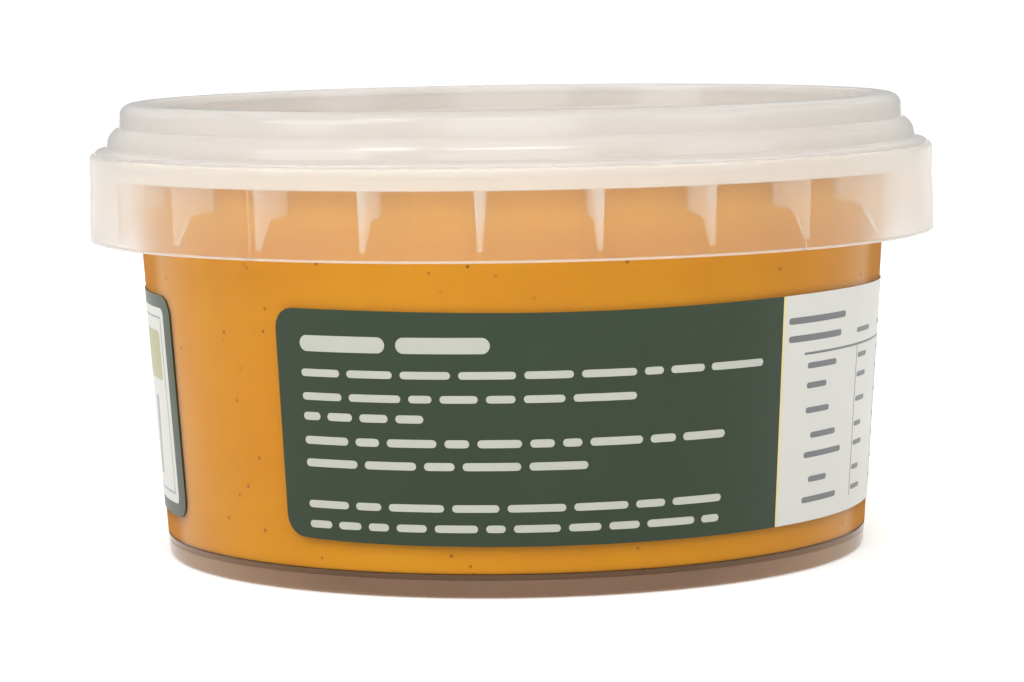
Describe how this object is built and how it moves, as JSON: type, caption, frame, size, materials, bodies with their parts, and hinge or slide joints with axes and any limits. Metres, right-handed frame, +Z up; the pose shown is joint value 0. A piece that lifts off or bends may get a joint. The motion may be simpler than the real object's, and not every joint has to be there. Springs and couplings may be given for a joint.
{
  "type": "tub of smoked salmon dip",
  "caption": "Round clear plastic snap tub filled with orange smoked salmon dip, with a frosted lid set inside a ribbed tear-off collar and plain wrap-round labels.",
  "frame": {"origin": "centre of the foot ring, on the surface the tub stands on", "axes": "+Z up along the tub's axis; -Y is the side with the ingredients label, seen in the picture; +X to its right"},
  "size_m": [0.095, 0.095, 0.0507],
  "materials": {
    "clear_plastic": "clear polypropylene, glossy, faintly milky at the collar",
    "salmon_dip": "smooth orange paste with fine darker specks, wet against the wall",
    "frosted_plastic": "milky natural polypropylene, satin",
    "back_label_film": "satin printed film, dark green with a white panel",
    "front_label_film": "satin printed film, off-white with a dark green border"
  },
  "bodies": {
    "root": {"tub": "clear_plastic", "dip": "salmon_dip", "lid": "frosted_plastic", "back_label": "back_label_film", "front_label": "front_label_film"}
  },
  "joints": []
}
